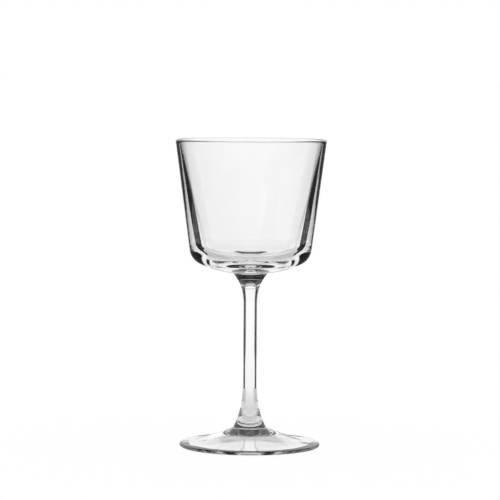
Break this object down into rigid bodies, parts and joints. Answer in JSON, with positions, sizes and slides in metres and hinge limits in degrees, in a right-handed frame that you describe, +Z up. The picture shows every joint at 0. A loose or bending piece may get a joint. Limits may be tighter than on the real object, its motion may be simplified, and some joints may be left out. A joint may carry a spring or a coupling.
{
  "type": "nick and nora glass",
  "caption": "Stemmed cocktail glass in clear glass: thick cup with straight flaring wall and domed base, on a flared collar, slim stem and round foot.",
  "frame": {"origin": "middle of the foot's resting plane, on the glass's axis", "axes": "+Z up along the axis, from foot to rim; X and Y are equal, because every piece is turned"},
  "size_m": [0.0738, 0.0738, 0.15],
  "materials": {
    "clear_glass": "clear colourless soda-lime glass, fire-polished"
  },
  "bodies": {
    "root": {"bowl": "clear_glass", "collar": "clear_glass", "stem": "clear_glass", "foot": "clear_glass"}
  },
  "joints": []
}
